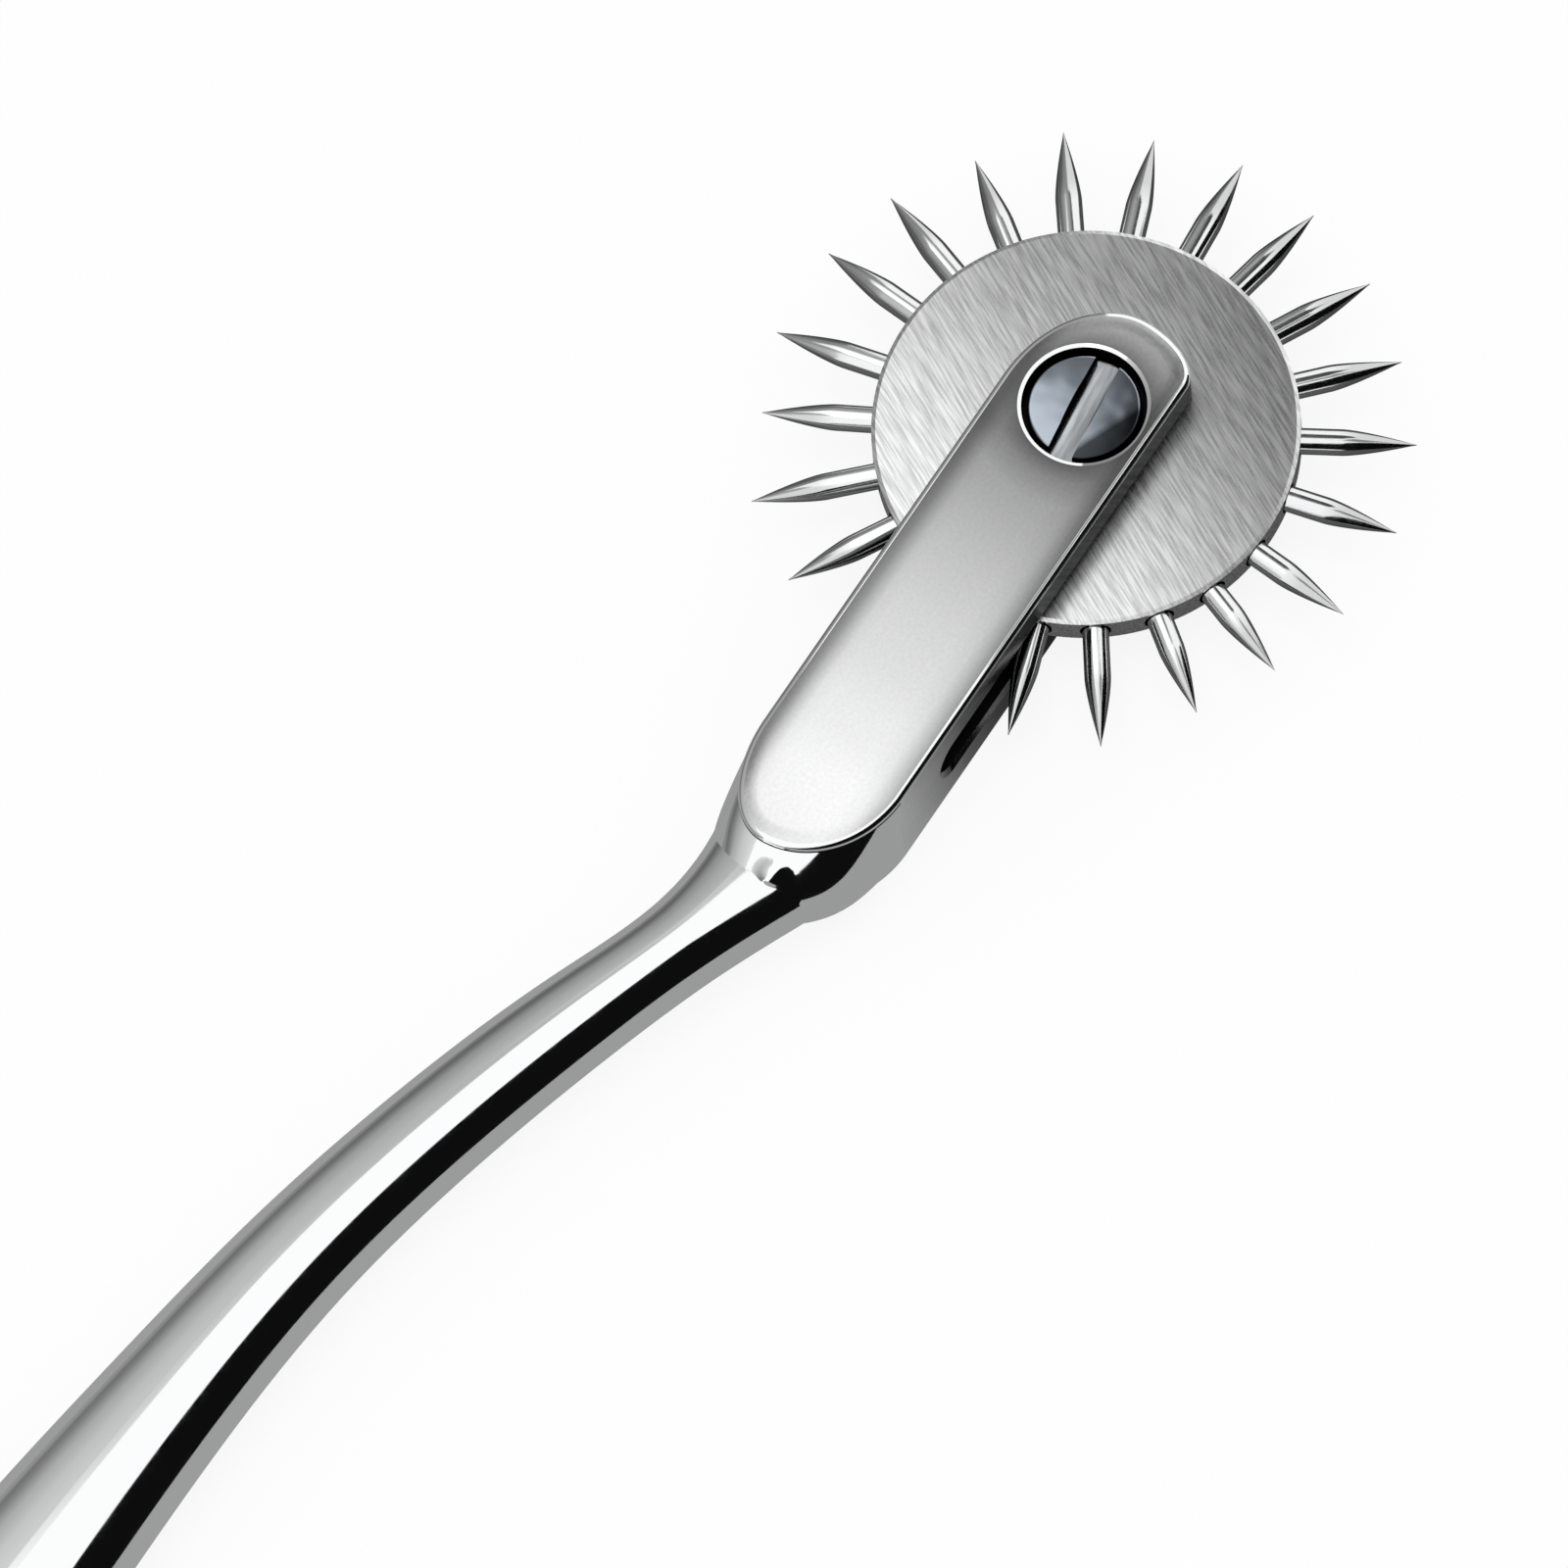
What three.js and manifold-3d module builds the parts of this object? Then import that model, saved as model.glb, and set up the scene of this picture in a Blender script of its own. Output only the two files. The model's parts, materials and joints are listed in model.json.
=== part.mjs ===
// A neurological pinwheel: a polished steel handle that ends in a fork, and a wheel of pressed-in pins
// that turns on a shouldered screw between the fork's two cheeks. Millimetres, +Z up.
//
// The instrument lies on its side. The wheel's axis is along Z, the fork points towards +X and the
// handle runs towards -X. While the pieces are made, X and Y are counted from the wheel's axis and Z
// from the middle of the wheel's thickness. The last lines move the whole assembly onto its base.
import * as THREE from 'three';
import { mergeVertices } from 'three/addons/utils/BufferGeometryUtils.js';
import Module from 'manifold-3d';

const wasm = await Module();
wasm.setup();

// Driving dimensions of the whole instrument
const overallLength = 190;
const tipRadius = 16;

// Wheel: a disc with pins pressed into its rim
const pinCount = 22;
const firstPinTurn = THREE.MathUtils.degToRad(3.7);
const discRadius = 10.45;
const discThickness = 1.75;
const discBevel = 0.15;
const hubRadius = 2.9;
const hubHeight = 0.25;
const pinDiameter = 1.3;
const pinTaperLength = 3.6;
const pinTaperPower = 1.4;
const pinSeatDepth = 3;
const pinEndBevel = 0.2;

// Axle screw
const shankDiameter = 3.2;
const threadDiameter = 2.6;
const threadEndBevel = 0.3;
const headDiameter = 5.6;
const headHeight = 1.25;
const headDome = 0.18;
const headRecess = 0.25;
const headBevel = 0.2;
const driverSlotWidth = 1.3;
const driverSlotDepth = 0.85;
const driverSlotTurn = THREE.MathUtils.degToRad(6.5);

// Fork: two cheeks with a slot between them
const forkWidth = 8;
const forkThickness = 7.2;
const forkOffset = 0.3;
const wheelSlotWidth = 2.5;
const wheelSlotReach = 18.75;
const cheekTipReach = 5.4;
const cheekTipCrown = -0.5;
const cheekTipLeftRound = 6;
const cheekTipRightRound = 2;
const forkRootReach = 27.5;
const forkRootCrown = 0.7;
const forkRootRound = 5.4;
const forkBevel = 0.3;
const counterboreDiameter = 6.15;
const counterboreBevel = 0.3;

// Handle: it starts inside the fork's root and ends in a rounded tail
const handleRootReach = 20.5;
const handleRise = 11.1;
const gripWidth = 10.2;
const shoulderSquareness = 5;
const roundSquareness = 2;
const neckSpans = 5;

// Clearances
const runningClearance = 0.08;
const shankClearance = 0.08;
const threadClearance = 0.05;
const pinClearance = 0.05;
const seatGap = 0.03;
const threadEndSetback = 0.1;
const cutOverrun = 1;

// Facets
const discFacets = 88;
const holeFacets = 12;
const pinFacets = 12;
const screwFacets = 48;
const taperSteps = 5;
const domeSteps = 3;
const outlineSteps = 7;
const sectionFacets = 24;
const ringsPerSpan = 3;
const tailRings = 5;
const weldDistance = 1e-4;

// The pins were driven in and ground by hand. Each row is how far a pin's turn is off the even spacing, as
// a share of the pitch, and how much longer its free end is than the others', as a share of that end.
const pinOddityShares = [
  [0.045, 0.015], [0.040, -0.020], [0.015, 0.015], [0.015, -0.075], [0.030, -0.025], [-0.045, -0.015],
  [0.020, 0.015], [-0.035, -0.025], [-0.025, 0.115], [-0.055, 0.060], [-0.055, 0.020], [-0.055, 0.040],
  [-0.055, 0.060], [-0.085, 0.100], [-0.020, -0.045], [-0.040, -0.070], [-0.050, -0.030], [0.050, 0.005],
  [0.090, 0.015], [0.075, -0.045], [0.065, -0.030], [0.080, -0.015],
];

// Stations along the handle, from inside the fork's root to the tail. Each row is, in shares, how far
// along the handle's length, how far aside of its rise, and how much of the grip's width and thickness.
const handleStationShares = [
  [0.000, 0.000, 0.750, 0.800],
  [0.018, 0.000, 0.810, 0.820],
  [0.031, 0.006, 0.815, 0.800],
  [0.043, 0.026, 0.690, 0.730],
  [0.057, 0.070, 0.525, 0.655],
  [0.082, 0.167, 0.455, 0.630],
  [0.118, 0.347, 0.472, 0.640],
  [0.173, 0.587, 0.520, 0.680],
  [0.235, 0.782, 0.570, 0.730],
  [0.299, 0.891, 0.660, 0.800],
  [0.344, 0.940, 0.750, 0.860],
  [0.420, 0.990, 0.880, 0.930],
  [0.520, 1.000, 0.970, 0.980],
  [0.650, 0.946, 1.000, 1.000],
  [0.780, 0.838, 0.970, 0.980],
  [0.900, 0.685, 0.890, 0.920],
  [0.970, 0.575, 0.820, 0.860],
  [1.000, 0.525, 0.780, 0.820],
];

// Sizes that follow from the ones above
const pinRadius = pinDiameter / 2;
const pinFoot = discRadius - pinSeatDepth;
const shankRadius = shankDiameter / 2;
const threadRadius = threadDiameter / 2;
const headRadius = headDiameter / 2;
const counterboreRadius = counterboreDiameter / 2;
const counterboreFloor = forkThickness / 2 - headRecess - headHeight - seatGap;
const boreRadius = shankRadius + runningClearance;
const forkRight = cheekTipReach + cutOverrun;
const handleLength = overallLength - tipRadius - handleRootReach;
const gripThickness = forkThickness;

// Colours of the finishes
const polishedSteel = { color: 0xd9dadc, roughness: 0.08, metalness: 1 };
const brushedSteel = { color: 0xbfc0c2, roughness: 0.35, metalness: 1 };
const pinSteel = { color: 0xcfd0d2, roughness: 0.15, metalness: 1 };
const screwSteel = { color: 0xc2cad4, roughness: 0.2, metalness: 1 };

// A closed geometry as a solid that can be joined and cut.
function toSolid(geometry) {
  geometry.deleteAttribute('normal');
  geometry.deleteAttribute('uv');
  const merged = mergeVertices(geometry, weldDistance);
  const vertProperties = Float32Array.from(merged.attributes.position.array);
  const triVerts = Uint32Array.from(merged.index.array);
  return new wasm.Manifold(new wasm.Mesh({ numProp: 3, vertProperties, triVerts }));
}

// A solid as a geometry again, with flat facets.
function toGeometry(solid) {
  const { vertProperties, triVerts } = solid.getMesh();
  const geometry = new THREE.BufferGeometry();
  geometry.setAttribute('position', new THREE.BufferAttribute(vertProperties, 3));
  geometry.setIndex(new THREE.BufferAttribute(triVerts, 1));
  geometry.computeVertexNormals();
  return geometry;
}

function makeMesh(name, geometry, finish) {
  const mesh = new THREE.Mesh(geometry, new THREE.MeshStandardMaterial(finish));
  mesh.name = name;
  return mesh;
}

// A cylinder or cone round the wheel's axis, between two heights.
function uprightCone(lowRadius, highRadius, low, high, facets) {
  const cone = new THREE.CylinderGeometry(highRadius, lowRadius, high - low, facets);
  cone.rotateX(Math.PI / 2);
  cone.translate(0, 0, (low + high) / 2);
  return cone;
}

// A turned piece round the Z axis from its half outline, given as [radius, height] pairs.
function turned(outline, facets) {
  const points = outline.map(([radius, height]) => new THREE.Vector2(radius, height));
  const geometry = new THREE.LatheGeometry(points, facets);
  geometry.rotateX(Math.PI / 2);
  return geometry;
}

// A closed skin over rings that have the same number of points, with a fan over each end.
function loft(rings) {
  const sides = rings[0].length;
  const firstCentre = rings.length * sides;
  const lastCentre = firstCentre + 1;
  const lastRing = (rings.length - 1) * sides;
  const middleOf = (ring) => ring.reduce((sum, point) => sum.add(point), new THREE.Vector3())
    .divideScalar(sides);
  const points = [...rings.flat(), middleOf(rings[0]), middleOf(rings.at(-1))];
  const triangles = [];
  for (let side = 0; side < sides; side += 1) {
    const next = (side + 1) % sides;
    for (let ring = 0; ring < rings.length - 1; ring += 1) {
      const here = ring * sides;
      const ahead = here + sides;
      triangles.push(here + side, here + next, ahead + next);
      triangles.push(here + side, ahead + next, ahead + side);
    }
    triangles.push(firstCentre, next, side);
    triangles.push(lastCentre, lastRing + side, lastRing + next);
  }
  const geometry = new THREE.BufferGeometry().setFromPoints(points);
  geometry.setIndex(triangles);
  return geometry;
}

// One coordinate of a rounded square: the exponent 2 is an ellipse, and more is squarer.
function squircle(wave, squareness) {
  return Math.sign(wave) * Math.abs(wave) ** (2 / squareness);
}

// Where a pin stands round the wheel, and how far its point is from the axis.
function pinSetting(index) {
  const [turnShare, reachShare] = pinOddityShares[index % pinOddityShares.length];
  const turn = firstPinTurn + ((index + turnShare) * 2 * Math.PI) / pinCount;
  const reach = tipRadius + reachShare * (tipRadius - discRadius);
  return { turn, reach };
}

// The disc: bevelled rim, low boss on both faces, bore, and one blind hole in the rim for each pin.
function makeDisc() {
  const face = discThickness / 2;
  const boss = face + hubHeight;
  const outline = [
    [boreRadius, -boss],
    [hubRadius, -boss],
    [hubRadius, -face],
    [discRadius - discBevel, -face],
    [discRadius, discBevel - face],
    [discRadius, face - discBevel],
    [discRadius - discBevel, face],
    [hubRadius, face],
    [hubRadius, boss],
    [boreRadius, boss],
    [boreRadius, -boss],
  ];
  let disc = toSolid(turned(outline, discFacets));
  const holeStart = pinFoot - pinClearance;
  const holeLength = discRadius + cutOverrun - holeStart;
  for (let index = 0; index < pinCount; index += 1) {
    const hole = new THREE.CylinderGeometry(
      pinRadius + pinClearance, pinRadius + pinClearance, holeLength, holeFacets);
    hole.translate(0, holeStart + holeLength / 2, 0);
    hole.rotateZ(pinSetting(index).turn - Math.PI / 2);
    disc = disc.subtract(toSolid(hole));
  }
  return makeMesh('wheel_disc', toGeometry(disc), brushedSteel);
}

// A pin: a bevelled foot, a straight stem, and a point whose sides bulge a little.
function makePin(index) {
  const { turn, reach } = pinSetting(index);
  const length = reach - pinFoot;
  const stemLength = length - pinTaperLength;
  const outline = [
    [0, 0],
    [pinRadius - pinEndBevel, 0],
    [pinRadius, pinEndBevel],
  ];
  for (let step = 0; step < taperSteps; step += 1) {
    const share = step / taperSteps;
    outline.push([pinRadius * (1 - share ** pinTaperPower), stemLength + share * pinTaperLength]);
  }
  outline.push([0, length]);
  const points = outline.map(([radius, height]) => new THREE.Vector2(radius, height));
  const name = `pin_${String(index + 1).padStart(2, '0')}`;
  const pin = makeMesh(name, new THREE.LatheGeometry(points, pinFacets), pinSteel);
  pin.position.set(pinFoot * Math.cos(turn), pinFoot * Math.sin(turn), 0);
  pin.rotation.z = turn - Math.PI / 2;
  return pin;
}

// The axle screw: domed slotted head, plain shank up to its shoulder, and a thinner threaded end.
function makeScrew() {
  const headSeat = counterboreFloor + seatGap;
  const headRim = headSeat + headHeight;
  const shoulder = seatGap - wheelSlotWidth / 2;
  const threadEnd = threadEndSetback - forkThickness / 2;
  const outline = [
    [0, threadEnd],
    [threadRadius - threadEndBevel, threadEnd],
    [threadRadius, threadEnd + threadEndBevel],
    [threadRadius, shoulder],
    [shankRadius, shoulder],
    [shankRadius, headSeat],
    [headRadius, headSeat],
    [headRadius, headRim - headBevel],
  ];
  for (let step = 0; step < domeSteps; step += 1) {
    const radius = (headRadius - headBevel) * (1 - step / domeSteps);
    const rise = headDome * (1 - (radius / headRadius) ** 2);
    outline.push([radius, headRim + rise]);
  }
  outline.push([0, headRim + headDome]);
  const blade = new THREE.BoxGeometry(headDiameter + cutOverrun, driverSlotWidth, driverSlotDepth + cutOverrun);
  blade.translate(0, 0, headRim + headDome - driverSlotDepth + (driverSlotDepth + cutOverrun) / 2);
  blade.rotateZ(driverSlotTurn);
  const screw = toSolid(turned(outline, screwFacets)).subtract(toSolid(blade));
  return makeMesh('axle_screw', toGeometry(screw), screwSteel);
}

// Seen from above, the fork is a bar with hand-rounded ends. Each end reaches furthest at its crown, a
// little aside of the fork's middle, so that its left and right roundings differ.
function forkOutline() {
  const half = forkWidth / 2;
  const tipCrown = forkOffset + cheekTipCrown;
  const rootCrown = forkOffset + forkRootCrown;
  const rootStart = forkRootRound - forkRootReach;
  const quarter = Math.PI / 2;
  const outline = new THREE.Shape();
  outline.absellipse(cheekTipReach - cheekTipRightRound, tipCrown,
    cheekTipRightRound, half + cheekTipCrown, -quarter, 0);
  outline.absellipse(cheekTipReach - cheekTipLeftRound, tipCrown,
    cheekTipLeftRound, half - cheekTipCrown, 0, quarter);
  outline.absellipse(rootStart, rootCrown, forkRootRound, half - forkRootCrown, quarter, 2 * quarter);
  outline.absellipse(rootStart, rootCrown, forkRootRound, half + forkRootCrown, 2 * quarter, 3 * quarter);
  outline.closePath();
  return outline;
}

// The slot that the wheel turns in: seen from the side, it is open at the tip and round at the root.
function wheelSlot() {
  const half = wheelSlotWidth / 2;
  const roundStart = wheelSlotReach - half;
  const outline = new THREE.Shape();
  outline.moveTo(forkRight, half);
  outline.lineTo(-roundStart, half);
  outline.absarc(-roundStart, 0, half, Math.PI / 2, (3 * Math.PI) / 2);
  outline.lineTo(forkRight, -half);
  outline.closePath();
  const depth = forkWidth + 2 * (forkOffset + cutOverrun);
  const slot = new THREE.ExtrudeGeometry(outline, {
    depth, bevelEnabled: false, curveSegments: outlineSteps,
  });
  slot.translate(0, 0, -depth / 2);
  slot.rotateX(Math.PI / 2);
  return slot;
}

// The handle: oval rings on a spine that leaves the fork's root, rises to one side and eases back.
function handleSkin() {
  const along = ([far]) => -handleRootReach - far * handleLength;
  const spine = new THREE.CatmullRomCurve3(handleStationShares.map(
    (row) => new THREE.Vector3(along(row), forkOffset + row[1] * handleRise, 0)), false, 'catmullrom');
  const girth = new THREE.CatmullRomCurve3(handleStationShares.map(
    (row) => new THREE.Vector3(along(row), row[2] * gripWidth / 2, row[3] * gripThickness / 2)),
  false, 'catmullrom');
  const spans = handleStationShares.length - 1;
  const tailStart = 1 - 1 / spans;
  const neckStart = neckSpans / spans;
  const ringAt = (share, closing) => {
    const centre = spine.getPoint(share);
    const tangent = spine.getTangent(share);
    const half = girth.getPoint(share);
    const towardsNeck = Math.min(1, share / neckStart);
    const squareness = THREE.MathUtils.lerp(shoulderSquareness, roundSquareness, towardsNeck);
    const ring = [];
    for (let facet = 0; facet < sectionFacets; facet += 1) {
      const turn = (facet * 2 * Math.PI) / sectionFacets;
      const aside = half.y * closing * squircle(Math.cos(turn), squareness);
      const up = half.z * closing * squircle(Math.sin(turn), squareness);
      ring.push(new THREE.Vector3(centre.x - tangent.y * aside, centre.y + tangent.x * aside, up));
    }
    return ring;
  };
  const rings = [];
  const bodyRings = (spans - 1) * ringsPerSpan;
  for (let ring = 0; ring <= bodyRings; ring += 1) {
    rings.push(ringAt((tailStart * ring) / bodyRings, 1));
  }
  for (let ring = 1; ring < tailRings; ring += 1) {
    const turn = (ring / tailRings) * (Math.PI / 2);
    rings.push(ringAt(tailStart + (1 - tailStart) * Math.sin(turn), Math.cos(turn)));
  }
  return loft(rings);
}

// The fork and handle in one: the bar and the handle joined, then slotted and bored for the screw.
function makeForkHandle() {
  const top = forkThickness / 2;
  const bar = new THREE.ExtrudeGeometry(forkOutline(), {
    depth: forkThickness - 2 * forkBevel,
    bevelThickness: forkBevel,
    bevelSize: forkBevel,
    bevelOffset: -forkBevel,
    bevelSegments: 2,
    curveSegments: outlineSteps,
  });
  bar.translate(0, 0, forkBevel - top);
  const bevelRadius = counterboreRadius + counterboreBevel + cutOverrun;
  const cuts = [
    wheelSlot(),
    uprightCone(counterboreRadius, counterboreRadius, counterboreFloor, top + cutOverrun, screwFacets),
    uprightCone(counterboreRadius, bevelRadius, top - counterboreBevel, top + cutOverrun, screwFacets),
    uprightCone(shankRadius + shankClearance, shankRadius + shankClearance, 0, top, screwFacets),
    uprightCone(threadRadius + threadClearance, threadRadius + threadClearance,
      -top - cutOverrun, 0, screwFacets),
  ];
  let fork = toSolid(bar).add(toSolid(handleSkin()));
  for (const cut of cuts) {
    fork = fork.subtract(toSolid(cut));
  }
  return makeMesh('fork_handle', toGeometry(fork), polishedSteel);
}

const wheel = new THREE.Group();
wheel.add(makeDisc());
for (let index = 0; index < pinCount; index += 1) {
  wheel.add(makePin(index));
}

const pinwheel = new THREE.Group();
pinwheel.add(makeForkHandle(), makeScrew(), wheel);

// The origin is the middle of the base: the bottom centre of the box round the whole instrument.
const box = new THREE.Box3().setFromObject(pinwheel, true);
const middle = box.getCenter(new THREE.Vector3());
pinwheel.position.set(-middle.x, -middle.y, -box.min.z);
pinwheel.updateMatrixWorld(true);

export default pinwheel;
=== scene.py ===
# %% [markdown]
# # A neurological pinwheel in polished steel
# The real instrument is one steel forging, handle and fork in one, with a small wheel of sharp pins
# that turns on a screw between the fork's two cheeks. This lesson dresses its plain construction model
# with finer meshes and steel finishes, and lights it as a catalogue photographer would.

# %% Load the construction model
import json
import math

import bmesh
import bpy
import numpy as np
from mathutils import Matrix, Vector


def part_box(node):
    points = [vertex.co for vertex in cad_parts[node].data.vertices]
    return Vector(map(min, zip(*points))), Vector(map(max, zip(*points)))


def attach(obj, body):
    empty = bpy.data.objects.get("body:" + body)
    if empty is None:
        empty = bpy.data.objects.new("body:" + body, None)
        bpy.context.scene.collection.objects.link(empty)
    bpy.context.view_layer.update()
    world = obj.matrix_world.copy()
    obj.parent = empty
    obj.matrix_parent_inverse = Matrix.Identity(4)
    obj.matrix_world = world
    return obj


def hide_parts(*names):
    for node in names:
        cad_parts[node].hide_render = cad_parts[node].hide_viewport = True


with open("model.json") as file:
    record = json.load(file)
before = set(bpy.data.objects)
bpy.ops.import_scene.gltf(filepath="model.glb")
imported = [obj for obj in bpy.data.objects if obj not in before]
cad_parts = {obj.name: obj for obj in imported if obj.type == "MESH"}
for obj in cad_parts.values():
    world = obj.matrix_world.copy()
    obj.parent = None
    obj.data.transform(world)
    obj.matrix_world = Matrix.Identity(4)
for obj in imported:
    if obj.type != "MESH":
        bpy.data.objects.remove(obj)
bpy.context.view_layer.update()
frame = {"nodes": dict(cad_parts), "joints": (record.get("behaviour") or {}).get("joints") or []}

# %% [markdown]
# ## Places and sizes
# Every size of the instrument is written in millimetres. Places are counted from the middle of the
# wheel: X runs towards the fork's tip, Y to its left and Z up through the screw's head. The wheel's
# joint in the construction model says where that middle is. A new piece is modelled round that point,
# and its place goes into its mesh at the end.

# %% The wheel's middle
mm = 0.001
quarter_turn = math.pi / 2
along_x = (1, 0, 0)
along_y = (0, 1, 0)
along_z = (0, 0, 1)
hub = Vector(frame["joints"][0]["pos_m"])
# Two places closer together than this count as one. The first is in millimetres, the second in metres.
slack = 0.01
near = slack * mm
# A normal that points up by more than the first share belongs to a level face, by less than the second
# to an upright one.
level_share = 0.97
upright_share = 0.1


def place(x, y, z=0.0):
    """A place in metres, from millimetres counted from the middle of the wheel."""
    return hub + mm * Vector((x, y, z))


print("wheel turns round", hub)

# %% [markdown]
# ## Hands for the work
# Operators act on whatever is selected. So the first helpers clear the selection, open one piece for
# editing, and pick its vertices, edges or faces by where they are or which way they face.


# %% Select and edit
def take(piece):
    """Selects one object and nothing else."""
    bpy.ops.object.select_all(action="DESELECT")
    piece.select_set(True)
    bpy.context.view_layer.objects.active = piece


def start_edit(piece):
    take(piece)
    bpy.ops.object.mode_set(mode="EDIT")
    bpy.ops.mesh.select_mode(type="VERT")


def end_edit():
    bpy.ops.object.mode_set(mode="OBJECT")


def pick(kind, wanted):
    """Selects the elements of the mesh being edited for which wanted(element) is true."""
    bpy.ops.mesh.select_mode(type=kind)
    bpy.ops.mesh.select_all(action="DESELECT")
    mesh = bmesh.from_edit_mesh(bpy.context.object.data)
    elements = {"VERT": mesh.verts, "EDGE": mesh.edges, "FACE": mesh.faces}[kind]
    for element in elements:
        if wanted(element):
            element.select_set(True)
    mesh.select_flush_mode()
    bmesh.update_edit_mesh(bpy.context.object.data)


def level(height):
    """A test for elements that lie at one height, counted from the wheel's middle."""
    def lies_there(element):
        points = [element] if isinstance(element, bmesh.types.BMVert) else element.verts
        return all(abs(point.co.z - height * mm) < near for point in points)
    return lies_there


# %% Shape, cut and finish
def extrude(x, y, z):
    bpy.ops.mesh.extrude_region_move(TRANSFORM_OT_translate={"value": mm * Vector((x, y, z))})


def turned(name, outline, facets):
    """A solid of revolution round the wheel's axis, from [radius, height] pairs, bottom to top."""
    radius, height = outline[0]
    bpy.ops.object.select_all(action="DESELECT")
    bpy.ops.mesh.primitive_circle_add(
        vertices=facets, radius=radius * mm, fill_type="NGON", location=hub)
    piece = bpy.context.object
    piece.name = name
    start_edit(piece)
    bpy.ops.mesh.select_all(action="SELECT")
    bpy.ops.transform.translate(value=(0, 0, height * mm))
    for next_radius, next_height in outline[1:]:
        extrude(0, 0, next_height - height)
        grow = next_radius / radius
        bpy.ops.transform.resize(value=(grow, grow, 1), center_override=hub)
        radius, height = next_radius, next_height
    bpy.ops.mesh.select_all(action="SELECT")
    bpy.ops.mesh.normals_make_consistent(inside=False)
    end_edit()
    return piece


def combine(piece, tool, operation):
    """Joins a piece to another, or cuts it with one, and throws the tool away."""
    take(piece)
    bpy.ops.object.modifier_add(type="BOOLEAN")
    boolean = piece.modifiers[-1]
    boolean.operation = operation
    boolean.solver = "EXACT"
    boolean.object = tool
    bpy.ops.object.modifier_apply(modifier=boolean.name)
    bpy.data.objects.remove(tool)


def settle(piece, name, crease=30):
    """Moves a piece's place into its mesh and smooths it across edges flatter than the crease angle."""
    piece.name = name
    piece.data.name = name
    take(piece)
    bpy.ops.object.transform_apply(location=True, rotation=True, scale=True)
    bpy.ops.object.shade_smooth_by_angle(angle=math.radians(crease))
    print(name, len(piece.data.polygons), "faces")
    return piece


# %% [markdown]
# ## The camera
# The photograph looks down on the wheel from a little aside, so that its circle shows as an ellipse.
# The ellipse's flatness gives the tilt and its long axis gives the side. A long lens far away keeps
# parallel edges parallel, as they are in the photograph.

# %% Camera
image_side = 1600
hub_pixel = (1108.8, 443.0)
pixels_per_mm = 21.0
view_tilt = math.radians(23.4)
view_side = math.radians(52.2)
view_roll = math.radians(5.5)
camera_distance = 3.4
sensor_width = 36

flat_right = Vector((math.cos(view_side), -math.sin(view_side), 0))
flat_up = Vector((
    math.sin(view_side) * math.cos(view_tilt),
    math.cos(view_side) * math.cos(view_tilt),
    math.sin(view_tilt),
))
towards_camera = flat_right.cross(flat_up)
image_right = math.cos(view_roll) * flat_right - math.sin(view_roll) * flat_up
image_up = math.sin(view_roll) * flat_right + math.cos(view_roll) * flat_up
frame_side = image_side / pixels_per_mm * mm
off_centre = [(image_side / 2 - pixel) / pixels_per_mm * mm for pixel in hub_pixel]
frame_centre = hub + image_right * off_centre[0] - image_up * off_centre[1]

bpy.ops.object.camera_add(location=frame_centre + towards_camera * camera_distance)
camera = bpy.context.object
camera.rotation_euler = Matrix((image_right, image_up, towards_camera)).transposed().to_euler()
camera.data.sensor_width = sensor_width
camera.data.lens = sensor_width * camera_distance / frame_side
camera.data.clip_end = 2 * camera_distance
bpy.context.scene.camera = camera
bpy.context.scene.view_settings.view_transform = "Standard"
print("lens", round(camera.data.lens), "mm, towards the camera", towards_camera)

# %% [markdown]
# ## A white room
# Polished steel has no colour of its own: it shows the room. The world and the floor are white to the
# camera and in every reflection, and light the rest at a plain level. The floor stays partly a real
# surface, so that it keeps the faint shadow that a soft lamp overhead throws. No reflection shows the lamp.


# %% Node helpers
def add_node(material, kind, **sockets):
    """Adds a node and sets its inputs, by name, or as i0, i1 and so on where inputs share a name.

    A value is set, and an output of another node is linked."""
    node = material.node_tree.nodes.new(kind)
    for name, value in sockets.items():
        numbered = name[0] == "i" and name[1:].isdigit()
        socket = node.inputs[int(name[1:])] if numbered else node.inputs[name]
        if isinstance(value, bpy.types.NodeSocket):
            material.node_tree.links.new(value, socket)
        else:
            socket.default_value = value
    return node


def remapped(material, value, span, target):
    """A value carried from one range to another, and held at the ends."""
    stretch = add_node(material, "ShaderNodeMapRange", Value=value)
    for name, number in zip(("From Min", "From Max", "To Min", "To Max"), (*span, *target)):
        stretch.inputs[name].default_value = number
    return stretch.outputs[0]


def seen_rays(material):
    """1 for a ray from the camera, from a reflection or through a clear piece, and 0 for the rest."""
    rays = add_node(material, "ShaderNodeLightPath")
    seen = rays.outputs["Is Camera Ray"]
    for kind in ("Is Glossy Ray", "Is Transmission Ray"):
        seen = add_node(material, "ShaderNodeMath", i0=seen, i1=rays.outputs[kind]).outputs[0]
    return seen


def new_material(name):
    material = bpy.data.materials.new(name)
    material.use_nodes = True
    material.node_tree.nodes.clear()
    return material


# %% World and floor
world_light = 0.75
floor_side = 6.0
floor_own_share = 0.12
plain_white = (1, 1, 1, 1)
paper_colour = (0.9, 0.9, 0.9, 1)
lamp_height = 0.8
lamp_side = 0.5
lamp_power = 2.2

world = bpy.data.worlds.new("white_room")
world.use_nodes = True
world.node_tree.nodes.clear()
strength = remapped(world, seen_rays(world), (0, 1), (world_light, 1))
white = add_node(world, "ShaderNodeBackground", Color=plain_white, Strength=strength)
add_node(world, "ShaderNodeOutputWorld", Surface=white.outputs[0])
bpy.context.scene.world = world

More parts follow.
